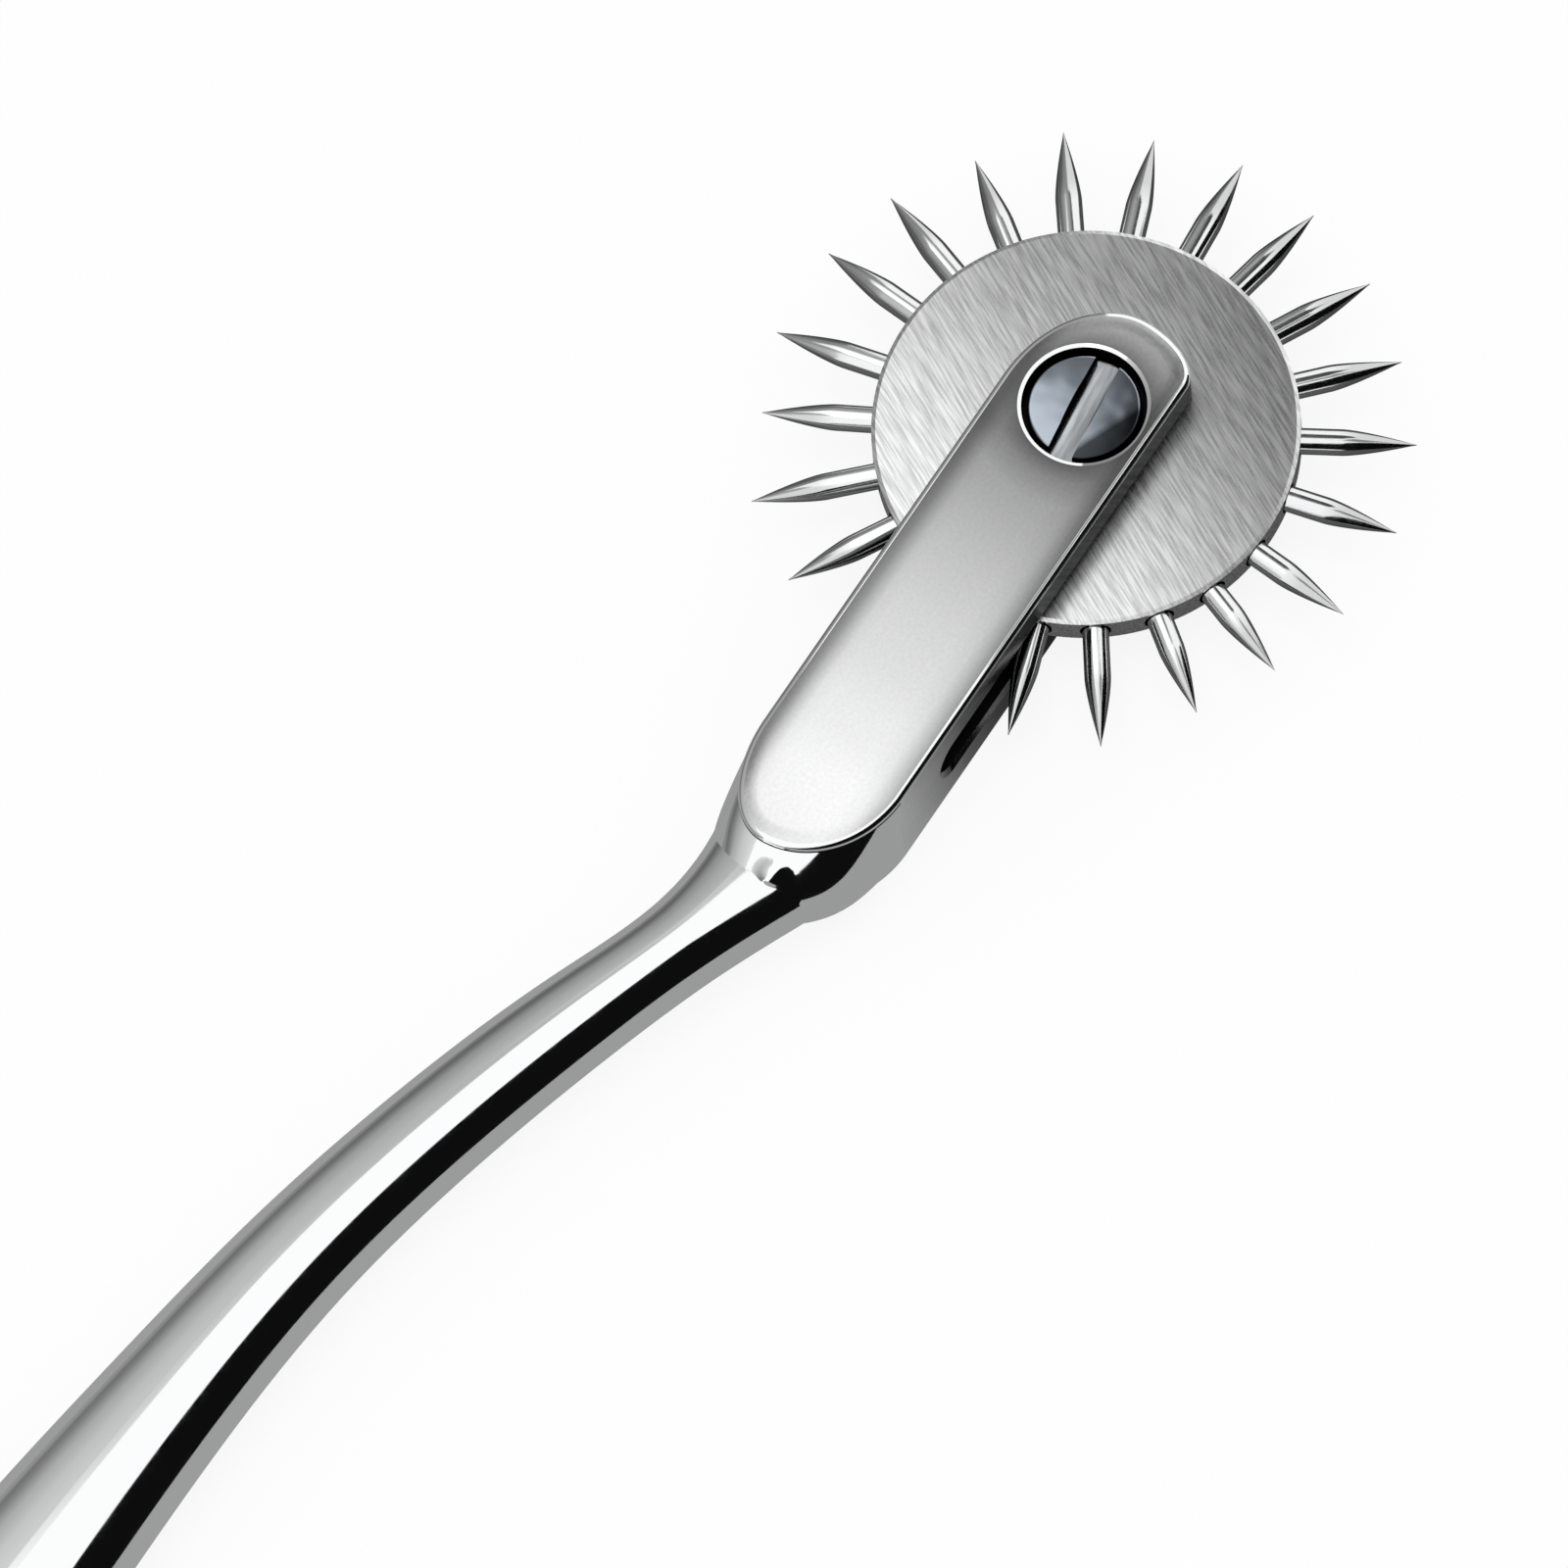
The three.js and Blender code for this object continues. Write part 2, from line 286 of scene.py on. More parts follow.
bpy.ops.object.select_all(action="DESELECT")
bpy.ops.mesh.primitive_plane_add(size=floor_side, location=(0, 0, 0))
floor = bpy.context.object
floor.name = "floor"
paper = new_material("white_paper")
share = remapped(paper, seen_rays(paper), (0, 1), (0, 1 - floor_own_share))
matt = add_node(paper, "ShaderNodeBsdfDiffuse", Color=paper_colour)
glow = add_node(paper, "ShaderNodeEmission", Color=plain_white)
both = add_node(paper, "ShaderNodeMixShader", Fac=share, i1=matt.outputs[0], i2=glow.outputs[0])
add_node(paper, "ShaderNodeOutputMaterial", Surface=both.outputs[0])
floor.data.materials.append(paper)

bpy.ops.object.light_add(type="AREA", location=(0, 0, lamp_height))
lamp = bpy.context.object
lamp.data.size = lamp_side
lamp.data.energy = lamp_power
lamp.visible_glossy = False
print("white room made")

# %% [markdown]
# ## Cards and flags
# A chrome handle in an all white room looks like white paper. So the photographer stands a black flag
# on its right and a grey card on its left, hangs a card and a scrim above, and lays a sheet on the table.
# The handle's round side shows them as long bands. Only reflections see them here: they light nothing
# and cast no shadow.


# %% Card maker
def shaded_along(material, direction, stops):
    """A share that runs through stops, each (millimetres from the wheel's middle, share).

    It runs along a direction, or outwards from the wheel's axis where the direction is None."""
    spot = add_node(material, "ShaderNodeTexCoord")
    from_hub = add_node(material, "ShaderNodeVectorMath", i0=spot.outputs["Object"], i1=hub)
    from_hub.operation = "SUBTRACT"
    if direction:
        line = Vector(direction).normalized()
        along = add_node(material, "ShaderNodeVectorMath", i0=from_hub.outputs[0], i1=line)
        along.operation = "DOT_PRODUCT"
    else:
        flat_only = Vector((1, 1, 0))
        flat = add_node(material, "ShaderNodeVectorMath", i0=from_hub.outputs[0], i1=flat_only)
        flat.operation = "MULTIPLY"
        along = add_node(material, "ShaderNodeVectorMath", i0=flat.outputs[0])
        along.operation = "LENGTH"
    start, end = stops[0][0], stops[-1][0]
    way = remapped(material, along.outputs["Value"], (start * mm, end * mm), (0, 1))
    ramp = add_node(material, "ShaderNodeValToRGB", Fac=way)
    for far, _ in stops[1:-1]:
        ramp.color_ramp.elements.new((far - start) / (end - start))
    for shade, (_, share) in zip(ramp.color_ramp.elements, stops):
        shade.color = (share, share, share, 1)
    return ramp.outputs["Color"]


def multiplied(material, first, second):
    """The product of two colours."""
    product = add_node(material, "ShaderNodeVectorMath", i0=first, i1=second)
    product.operation = "MULTIPLY"
    return product.outputs[0]


def glowing(name, *ramps, brightness=1.0):
    """A card's own light: a brightness times its ramps, each a direction and its stops."""
    material = new_material(name)
    glow = add_node(material, "ShaderNodeEmission", Strength=brightness)
    colour = Vector((1, 1, 1))
    for direction, stops in ramps:
        colour = multiplied(material, colour, shaded_along(material, direction, stops))
        material.node_tree.links.new(colour, glow.inputs["Color"])
    add_node(material, "ShaderNodeOutputMaterial", Surface=glow.outputs[0])
    return material


def card(name, corners, material):
    """A flat card with these corners, in millimetres from the wheel's middle. Only reflections see it."""
    bpy.ops.object.select_all(action="DESELECT")
    bpy.ops.mesh.primitive_circle_add(vertices=len(corners), fill_type="NGON", location=(0, 0, 0))
    piece = bpy.context.object
    piece.name = name
    for vertex, corner in zip(piece.data.vertices, corners):
        vertex.co = place(*corner)
    piece.data.materials.append(material)
    piece.visible_camera = False
    piece.visible_diffuse = False
    piece.visible_transmission = False
    piece.visible_shadow = False


# %% The cards round the instrument
card_lift = 0.05
card_inset = 0.1
table = card_lift - hub.z / mm
tail_x = -200
wheel_x = 45
flag_y = -30
left_y = 40
left_x = 60
card_top = 90
low_height = 50
scrim_height = 34

flag_outline = [
    (tail_x, table), (wheel_x, table), (wheel_x, 24), (-6, 50), (-14, 58), (-35, 54), (-72, 43), (-150, 20),
    (tail_x, 20),
]
card("black_flag", [(x, flag_y, z) for x, z in flag_outline], glowing("flag_black", brightness=0.004))

left_outline = [(tail_x, table), (left_x, table), (left_x, card_top), (tail_x, card_top)]
card("left_card", [(x, left_y, z) for x, z in left_outline], glowing(
    "left_grey",
    (along_z, [(0, 0.22), (4, 0.13), (9, 0.17), (20, 0.32), (40, 0.44), (70, 0.52), (90, 0.55)]),
    (along_x, [(-60, 1.3), (-40, 1.1), (-22, 0.9), (-8, 0.85), (60, 0.8)])))

upper_outline = [(-60, 27), (-40, 26), (-18, 21), (-4, 22), (8, 36), (8, left_y), (-60, left_y)]
card("upper_card", [(x, y, card_top) for x, y in upper_outline], glowing(
    "upper_grey",
    (along_x, [(-50, 1.0), (-42, 0.8), (-34, 0.64), (-20, 0.5), (-10, 0.45), (5, 0.6)])))

sheet_right, sheet_left = flag_y + card_inset, left_y - card_inset
sheet_outline = [(tail_x, sheet_right), (wheel_x, sheet_right), (wheel_x, sheet_left), (tail_x, sheet_left)]
card("table_sheet", [(x, y, table) for x, y in sheet_outline], glowing(
    "table_grey",
    (along_x, [(-60, 0.34), (-20, 0.32), (-12, 0.12), (20, 0.08)])))

low_outline = [(3, -28), (22, -28), (22, -13), (3, -13)]
card("low_card", [(x, y, low_height) for x, y in low_outline], glowing("low_grey", brightness=0.3))

scrim_outline = [
    (-17, -6), (8, -6), (12, -9), (24, -9), (33, -4), (33, 14), (28, 20), (28, 34), (-4, 34), (-9, 22),
    (-17, 11),
]
card("scrim", [(x, y, scrim_height) for x, y in scrim_outline], glowing(
    "scrim_grey",
    ((0.98, -0.2, 0), [(-14, 1.3), (-4, 1.3), (3, 1.2), (8, 0.8), (12, 0.42), (20, 0.27), (45, 0.15)]),
    ((0.6, -0.8, 0), [(-45, 1.0), (3, 1.0), (6, 0.8), (9.5, 0.35), (14, 0.25), (30, 0.2)])))
print("cards stand")

# %% [markdown]
# ## The fork
# Seen from above the fork is a bar with hand-rounded ends, each furthest out a little aside of the
# middle. A circle's four quarters stretched to their own sizes give that outline. They are moved apart,
# and the flat chords between them become the straight sides. The outline is raised to a half bar that
# flares over the neck. Two corners of the flare are pushed out and a low knob rises between them. The
# half bar is then rounded and crowned along its rim, and mirrored.

# %% Fork sizes
fork_width = 8
fork_thickness = 7.2
fork_offset = 0.3
tip_reach = 5.4
tip_crown = -0.5
tip_left_round = 6
tip_right_round = 2
root_reach = 27.5
root_crown = 0.7
root_round = 5.4
outline_facets = 96
painted_shade_side_start = -17
rim_round = 0.3
rim_round_steps = 4
# Each step of the crown is an inset and a rise.
crown_steps = [(0.2, 0.045), (0.2, 0.025), (0.25, 0.012)]
face_inset = 0.03
root_top = 3.05
root_flare = 3.0
root_steps = 12
# Each corner has its side, its turn from the root's end and how far it is pushed out.
flare_corners = [(-1, math.radians(58), 0.6), (1, math.radians(55), 0.35)]
corner_reach = 4.6
knob_middle = mm * Vector((-28.5, -0.25, 2.45))
knob_lean = Vector((-0.5, 0, 0.87))
knob_reach = 1.1
knob_height = 0.3
knob_margin = 0.3
knob_headroom = 0.1
knob_cuts = 2

# %% Fork outline
half_step = math.pi / outline_facets
bpy.ops.object.select_all(action="DESELECT")
bpy.ops.mesh.primitive_circle_add(
    vertices=outline_facets, radius=mm / math.cos(half_step), location=hub, rotation=(0, 0, half_step))
fork = bpy.context.object
bpy.ops.object.transform_apply(location=False, rotation=True, scale=False)
start_edit(fork)
half_width = fork_width / 2
corners = [
    (-1, 1, root_reach, root_round, root_crown),
    (-1, -1, root_reach, root_round, root_crown),
    (1, -1, tip_reach, tip_right_round, tip_crown),
    (1, 1, tip_reach, tip_left_round, tip_crown),
]
for end, side, reach, rounding, crown in corners:
    pick("VERT", lambda v: v.co.x * end > 0 and v.co.y * side > 0)
    bpy.ops.transform.resize(value=(rounding, half_width - side * crown, 1), center_override=hub)
    bpy.ops.transform.translate(value=(end * (reach - rounding) * mm, 0, 0))
root_start = root_round - root_reach
for crown, is_tip in ((tip_crown, True), (root_crown, False)):
    pick("VERT", lambda v: (v.co.x > root_start * mm + near) == is_tip)
    bpy.ops.transform.translate(value=(0, (fork_offset + crown) * mm, 0))
bpy.ops.mesh.select_all(action="SELECT")
bpy.ops.mesh.bisect(plane_co=place(painted_shade_side_start, 0), plane_no=along_x)


# %% Fork helpers
def swell(away):
    """A smooth hump's height as a share, from 1 at its middle to 0 at its edge, where away is 1."""
    return (1 + math.cos(math.pi * away)) / 2


def round_knob(face):
    """Whether a face of the flare lies round the knob, clear of the rim above it."""
    away = (face.calc_center_median() - knob_middle).length
    highest = max(vertex.co.z for vertex in face.verts)
    return away < (knob_reach + knob_margin) * mm and highest < (root_top - knob_headroom) * mm


# %% Fork levels
half_thickness = fork_thickness / 2
crown_rise = sum(rise for _, rise in crown_steps)
root_turns = [step / root_steps * quarter_turn for step in range(root_steps + 1)]
levels = [(root_top * math.sin(turn), root_flare * math.cos(turn) ** 2) for turn in root_turns]
levels.append((half_thickness - crown_rise, 0))
height, flare = levels[0]
pick("VERT", lambda v: v.co.x < root_start * mm + near)
bpy.ops.transform.resize(value=(1 + flare / root_round, 1, 1), center_override=place(root_start, 0))
bpy.ops.mesh.select_all(action="SELECT")
for next_height, next_flare in levels[1:]:
    extrude(0, 0, next_height - height)
    pick("VERT", lambda v: v.co.x < root_start * mm + near and level(next_height)(v))
    shrink = (root_round + next_flare) / (root_round + flare)
    bpy.ops.transform.resize(value=(shrink, 1, 1), center_override=place(root_start, 0))
    pick("VERT", level(next_height))
    height, flare = next_height, next_flare
bpy.ops.mesh.edge_face_add()
mesh = bmesh.from_edit_mesh(fork.data)
for side, turn, push in flare_corners:
    sideways = side * math.sin(turn)
    lean = Vector((-math.cos(turn), sideways, 0))
    for height, flare in levels[:-1]:
        corner = mm * Vector((
            root_start - (root_round + flare) * math.cos(turn),
            fork_offset + root_crown + (half_width - side * root_crown) * sideways,
            height))
        for vertex in filter(level(height), mesh.verts):
            away = min((vertex.co - corner).xy.length / (corner_reach * mm), 1)
            vertex.co += lean * push * mm * flare / root_flare * swell(away)
bmesh.update_edit_mesh(fork.data)
pick("FACE", round_knob)
bpy.ops.mesh.subdivide(number_cuts=knob_cuts)
mesh = bmesh.from_edit_mesh(fork.data)
for vertex in mesh.verts:
    away = min((vertex.co - knob_middle).length / (knob_reach * mm), 1)
    vertex.co += mm * knob_lean * knob_height * swell(away)
bmesh.update_edit_mesh(fork.data)
bpy.ops.mesh.select_all(action="SELECT")
bpy.ops.mesh.normals_make_consistent(inside=False)
pick("EDGE", level(half_thickness - crown_rise))
bpy.ops.mesh.bevel(offset=rim_round * mm, segments=rim_round_steps, affect="EDGES")
pick("FACE", level(half_thickness - crown_rise))
for inset, rise in crown_steps:
    bpy.ops.mesh.inset(thickness=inset * mm, depth=rise * mm)
bpy.ops.mesh.inset(thickness=face_inset * mm, depth=0)
end_edit()
bpy.ops.object.modifier_add(type="MIRROR")
mirror = fork.modifiers[-1]
mirror.use_axis = (False, False, True)
mirror.merge_threshold = near
bpy.ops.object.modifier_apply(modifier=mirror.name)
start_edit(fork)
bpy.ops.mesh.select_all(action="SELECT")
bpy.ops.mesh.normals_make_consistent(inside=False)
end_edit()
print("fork bar", fork.dimensions / mm)

# %% [markdown]
# ## The handle
# The handle leaves the fork's root as a squarish shoulder, draws in to a thin neck, swings aside and
# swells to the grip. It is drawn as ovals on a curved spine. A smooth curve through the listed stations
# gives the spine and the ovals' sizes, and one ring is extruded from station to station.

# %% Handle stations, in shares of its length, its rise aside, and the grip's width and thickness
handle_start = 20.5
tail_margin = 0.05
handle_length = (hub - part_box("fork_handle")[0]).x / mm - handle_start - tail_margin
handle_rise = 11.1
grip_width = 10.2
grip_thickness = 7.2
shoulder_squareness = 2.8
round_squareness = 2
handle_facets = 64
rings_per_span = 8
tail_rings = 12
# At this station the handle has turned from squarish to round.
neck_station = 5
slope_probe = 0.001
handle_station_shares = [
    (0.000, 0.000, 0.620, 0.600),
    (0.018, 0.010, 0.680, 0.620),
    (0.031, 0.018, 0.700, 0.640),
    (0.043, 0.034, 0.660, 0.640),
    (0.057, 0.070, 0.560, 0.630),
    (0.082, 0.167, 0.455, 0.630),
    (0.118, 0.347, 0.472, 0.640),
    (0.173, 0.587, 0.520, 0.680),
    (0.235, 0.782, 0.570, 0.730),
    (0.299, 0.891, 0.660, 0.800),
    (0.344, 0.940, 0.750, 0.860),
    (0.420, 0.990, 0.880, 0.930),
    (0.520, 1.000, 0.970, 0.980),
    (0.650, 0.946, 1.000, 1.000),
    (0.780, 0.838, 0.970, 0.980),
    (0.900, 0.685, 0.890, 0.920),
    (0.970, 0.575, 0.820, 0.860),
    (1.000, 0.525, 0.780, 0.820),
]


# %% Smooth curve through the stations
def bends_through(steps, values):
    """How sharply a smooth curve through the values bends at each, found from its neighbours."""
    count = len(values)
    system = np.eye(count)
    pull = np.zeros(count)
    for i in range(1, count - 1):
        back, ahead = steps[i] - steps[i - 1], steps[i + 1] - steps[i]
        system[i, i - 1:i + 2] = back, 2 * (back + ahead), ahead
        pull[i] = 6 * ((values[i + 1] - values[i]) / ahead - (values[i] - values[i - 1]) / back)
    return np.linalg.solve(system, pull)


def smooth_value(steps, values, bends, at):
    """The height of the smooth curve at one place along it."""
    i = min(max(np.searchsorted(steps, at) - 1, 0), len(steps) - 2)
    span = steps[i + 1] - steps[i]
    left, right = (steps[i + 1] - at) / span, (at - steps[i]) / span
    bend = (left ** 3 - left) * bends[i] + (right ** 3 - right) * bends[i + 1]
    return left * values[i] + right * values[i + 1] + bend * span ** 2 / 6


far_shares = [row[0] for row in handle_station_shares]
handle_curves = []
for column in (1, 2, 3):
    values = [row[column] for row in handle_station_shares]
    handle_curves.append((values, bends_through(far_shares, values)))


def handle_at(far):
    """Aside, width and thickness shares at a share of the handle's length."""
    return [smooth_value(far_shares, values, bends, far) for values, bends in handle_curves]


# %% Rings of the handle
def squircle(wave, squareness):
    return math.copysign(abs(wave) ** (2 / squareness), wave)


def handle_ring(far, closing, squareness):
    """The points of one oval, in turn round the spine, counted from the wheel's middle in metres."""
    aside, width, thickness = handle_at(far)
    ahead, back = min(far + slope_probe, 1), far - slope_probe
    rise = (handle_at(ahead)[0] - handle_at(back)[0]) * handle_rise
    angle = math.atan2(rise, (ahead - back) * handle_length)
    centre = Vector((-handle_start - far * handle_length, fork_offset + aside * handle_rise, 0))
    sideways = Vector((math.sin(angle), math.cos(angle), 0))
    points = []
    for facet in range(handle_facets):
        turn = (facet + 0.5) * 2 * math.pi / handle_facets - math.pi
        out = squircle(math.cos(turn), squareness) * width * grip_width / 2 * closing
        up = squircle(math.sin(turn), squareness) * thickness * grip_thickness / 2 * closing
        points.append(mm * (centre + sideways * out + Vector((0, 0, up))))
    return centre * mm, points


def lay_ring(points, middle):
    """Moves the selected ring onto new points. Both are taken in turn round the spine."""
    mesh = bmesh.from_edit_mesh(bpy.context.object.data)
    ring = [vertex for vertex in mesh.verts if vertex.select]
    ring.sort(key=lambda vertex: math.atan2(vertex.co.z, vertex.co.y - middle.y))
    for vertex, point in zip(ring, points):
        vertex.co = point
    bmesh.update_edit_mesh(bpy.context.object.data)


# %% Extrude the handle
spans = len(handle_station_shares) - 1
neck_far = far_shares[neck_station]
ring_shares = []
for i in range(spans - 1):
    for part in range(rings_per_span):
        far = far_shares[i] + (far_shares[i + 1] - far_shares[i]) * part / rings_per_span
        ring_shares.append((far, 1))
for i in range(tail_rings):
    turn = i / tail_rings * quarter_turn
    far = far_shares[-2] + (1 - far_shares[-2]) * math.sin(turn)
    ring_shares.append((far, math.cos(turn)))

bpy.ops.object.select_all(action="DESELECT")
bpy.ops.mesh.primitive_circle_add(
    vertices=handle_facets, radius=mm, fill_type="NGON", location=hub,
    rotation=(quarter_turn, 0, quarter_turn))
handle = bpy.context.object
bpy.ops.object.transform_apply(location=False, rotation=True, scale=False)
start_edit(handle)
bpy.ops.mesh.select_all(action="SELECT")
middle = Vector((0, 0, 0))
for i, (far, closing) in enumerate(ring_shares):
    if i:
        extrude(0, 0, 0)
    rounded = min(far / neck_far, 1)
    squareness = shoulder_squareness + (round_squareness - shoulder_squareness) * rounded
    next_middle, points = handle_ring(far, closing, squareness)
    lay_ring(points, middle)
    middle = next_middle
extrude(0, 0, 0)
bpy.ops.mesh.merge(type="CENTER")
tail_end, _ = handle_ring(1, 0, round_squareness)
bpy.ops.transform.translate(value=tail_end - middle)
bpy.ops.mesh.select_all(action="SELECT")
bpy.ops.mesh.normals_make_consistent(inside=False)
end_edit()
print("handle skin", len(handle.data.polygons), "faces", handle.dimensions / mm)

# %% [markdown]
# ## Slot, counterbore and holes
# On the bench these are milled and drilled after forging. Here each is a cutter shape that a Boolean
# takes out of the joined bar and handle. The slot's cutter widens just at the fork's sides and the
# counterbore's at the face, which leaves the small bright chamfers that the real edges have.

# %% Join the bar and the handle
combine(fork, handle, "UNION")
print("joined", len(fork.data.polygons), "faces")

# %% Slot cutter
slot_width = 2.5
slot_reach = 18.75
slot_chamfer = 0.2
# Just under half the slot's width, so that the bevel's two arcs don't quite meet.
slot_end_round = 0.499 * slot_width
slot_end_steps = 12
overrun = 1
slot_tip = tip_reach + overrun
slot_length = slot_tip + slot_reach
bpy.ops.object.select_all(action="DESELECT")
bpy.ops.mesh.primitive_cube_add(size=mm, location=hub)
slot = bpy.context.object
slot.scale = (slot_length, fork_width - 2 * slot_chamfer, slot_width)
slot.location = place((slot_tip - slot_reach) / 2, fork_offset)
bpy.ops.object.transform_apply(location=False, rotation=True, scale=True)
start_edit(slot)


def crosses_blind_end(edge):
    """Whether an edge runs across the fork at the slot's blind end."""
    first, second = (vertex.co for vertex in edge.verts)
    return max(first.x, second.x) < near - slot_length / 2 * mm and abs(first.z - second.z) < near


pick("EDGE", crosses_blind_end)
bpy.ops.mesh.bevel(offset=slot_end_round * mm, segments=slot_end_steps, affect="EDGES")
for side in (1, -1):
    edge = side * (fork_width / 2 - slot_chamfer) * mm
    pick("FACE", lambda f: all(abs(v.co.y - edge) < near for v in f.verts))
    extrude(0, side * (slot_chamfer + overrun), 0)
    spread = 2 * (slot_chamfer + overrun)
    bpy.ops.transform.resize(
        value=((slot_length + spread) / slot_length, 1, (slot_width + spread) / slot_width),
        center_override=slot.location)
bpy.ops.mesh.select_all(action="SELECT")
bpy.ops.mesh.normals_make_consistent(inside=False)
end_edit()
combine(fork, slot, "DIFFERENCE")
print("slotted", len(fork.data.polygons), "faces")

# %% Screw and its seat, in sizes that go together
shank_radius = 1.6
thread_radius = 1.3
thread_end_bevel = 0.3
head_radius = 2.8
head_height = 1.25
head_recess = 0.25
head_dome = 0.18
head_bevel = 0.2
seat_gap = 0.03
shank_clearance = 0.08
thread_clearance = 0.05
thread_setback = 0.1
counterbore_radius = 3.075
counterbore_bevel_width = 0.18
counterbore_bevel_depth = 0.09
hole_step_rise = 0.1
round_facets = 96
forging_crease = 25
seat_height = half_thickness - head_recess - head_height - seat_gap

# %% Counterbore and holes cutter
funnel_slope = counterbore_bevel_width / counterbore_bevel_depth
funnel_radius = counterbore_radius + counterbore_bevel_width + overrun * funnel_slope
drill = turned("drill", [
    (thread_radius + thread_clearance, -half_thickness - overrun),
    (thread_radius + thread_clearance, 0),
    (shank_radius + shank_clearance, hole_step_rise),
    (shank_radius + shank_clearance, seat_height),
    (counterbore_radius, seat_height + slack),
    (counterbore_radius, half_thickness - counterbore_bevel_depth),
    (funnel_radius, half_thickness + overrun),
], round_facets)
combine(fork, drill, "DIFFERENCE")
fork_handle = settle(fork, "forged_fork_and_handle", forging_crease)
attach(fork_handle, "handle")
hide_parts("fork_handle")

# %% [markdown]
# ## The wheel's disc
# The disc is turned from bar: flat faces, a fine chamfer round the rim, and a low boss on each face
# that keeps it off the cheeks. Then its rim is drilled for the pins. A turned profile gives the first,
# and a ring of small drills does the second, one hole after another.

# %% Disc
pin_count = 22
disc_radius = 10.45
disc_thickness = 1.75
disc_chamfer_width = 0.2
disc_chamfer_depth = 0.075
boss_radius = 2.9
boss_height = 0.25
pin_radius = 0.65
pin_seat = 3
hole_clearance = 0.05
hole_chamfer = 0.1
hole_facets = 24
running_clearance = 0.08
disc_facets = 176
disc_crease = 15
half_disc = disc_thickness / 2
boss_top = half_disc + boss_height
disc = turned("disc", [
    (boss_radius, -boss_top),
    (boss_radius, -half_disc - slack),
    (disc_radius - disc_chamfer_width, -half_disc),
    (disc_radius, disc_chamfer_depth - half_disc),
    (disc_radius, half_disc - disc_chamfer_depth),
    (disc_radius - disc_chamfer_width, half_disc),
    (boss_radius, half_disc + slack),
    (boss_radius, boss_top),
], disc_facets)
bore = turned("bore", [
    (shank_radius + running_clearance, -boss_top - overrun),
    (shank_radius + running_clearance, boss_top + overrun),
], round_facets)
combine(disc, bore, "DIFFERENCE")


# %% Where each pin stands, read from the construction model
def pin_setting(index):
    """The turn of a pin round the wheel, and how far out its point may reach, in millimetres."""
    node = frame["nodes"][f"pin_{index + 1:02d}"]
    outer = max((vertex.co - hub for vertex in node.data.vertices), key=lambda spot: spot.xy.length)
    return math.atan2(outer.y, outer.x), (outer.xy.length - near) / mm


pin_settings = [pin_setting(index) for index in range(pin_count)]
pin_foot = disc_radius - pin_seat
reaches = [reach for _, reach in pin_settings]
print("pins reach", round(min(reaches), 2), "to", round(max(reaches), 2))

# %% Drill the rim
hole_radius = pin_radius + hole_clearance
hole_top = disc_radius + overrun
for turn, _ in pin_settings:
    hole = turned("hole", [
        (hole_radius, pin_foot - hole_clearance),
        (hole_radius, disc_radius - hole_chamfer),
        (hole_radius + hole_chamfer + overrun, hole_top),
    ], hole_facets)
    hole.rotation_euler = (0, quarter_turn, turn)
    combine(disc, hole, "DIFFERENCE")
wheel_disc = settle(disc, "brushed_disc", disc_crease)
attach(wheel_disc, "wheel")
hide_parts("wheel_disc")

# %% [markdown]
# ## The pins
# Each pin is a short polished rod, driven into its hole and ground to a long point whose sides bulge a
# little. One pin is modelled lying along X and copied 22 times. Each copy's point is drawn out to its
# own reach before the copy is turned to its place.

# %% One pin
pin_taper = 3.6
pin_taper_power = 1.4
pin_foot_bevel = 0.2
pin_facets = 32
pin_crease = 40
taper_rings = 14
tip_radius = 0.02
model_reach = 16
stem_end = model_reach - pin_taper
pin_outline = [
    (pin_radius - pin_foot_bevel, pin_foot),
    (pin_radius, pin_foot + pin_foot_bevel),
]
for ring in range(taper_rings):
    share = ring / taper_rings
    pin_outline.append((pin_radius * (1 - share ** pin_taper_power), stem_end + share * pin_taper))
pin_outline.append((tip_radius, model_reach))
pin_model = turned("pin_model", pin_outline, pin_facets)

# %% Twenty-two pins
pins = []
for index, (turn, reach) in enumerate(pin_settings):
    take(pin_model)
    bpy.ops.object.duplicate(linked=False)
    pin = bpy.context.object
    start_edit(pin)
    pick("VERT", lambda v: v.co.z > stem_end * mm - near)
    bpy.ops.transform.translate(value=(0, 0, (reach - model_reach) * mm))
    end_edit()
    pin.rotation_euler = (0, quarter_turn, turn)
    settle(pin, f"ground_pin_{index + 1:02d}", pin_crease)
    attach(pin, "wheel")
    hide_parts(f"pin_{index + 1:02d}")
    pins.append(pin)
bpy.data.objects.remove(pin_model)

# %% [markdown]
# ## The screw
# The wheel turns on a screw with a plain shank. Its thinner end is screwed into the rear cheek, and its
# domed head sits in the counterbore. The body is one turned profile, and a blade cuts the driver slot.

# %% Screw
driver_slot_width = 1.3
driver_slot_depth = 0.85
driver_slot_turn = math.radians(6.5)
driver_slot_chamfer = 0.06
shoulder = seat_gap - slot_width / 2
head_seat = seat_height + seat_gap
head_rim = head_seat + head_height
dome_radius = head_radius - head_bevel
dome_rings = 10
bevel_rings = 4
thread_end = thread_setback - half_thickness
screw_outline = [
    (thread_radius - thread_end_bevel, thread_end),
    (thread_radius, thread_end + thread_end_bevel),
    (thread_radius, shoulder - slack),
    (shank_radius, shoulder),
    (shank_radius, head_seat - slack),
    (head_radius, head_seat),
]
for ring in range(bevel_rings + 1):
    turn = ring / bevel_rings * quarter_turn
    screw_outline.append((
        dome_radius + head_bevel * math.cos(turn),
        head_rim - head_bevel + head_bevel * math.sin(turn)))
for ring in range(1, dome_rings):
    inward = 1 - ring / dome_rings
    screw_outline.append((dome_radius * inward, head_rim + head_dome * (1 - inward ** 2)))
screw = turned("screw", screw_outline, round_facets)
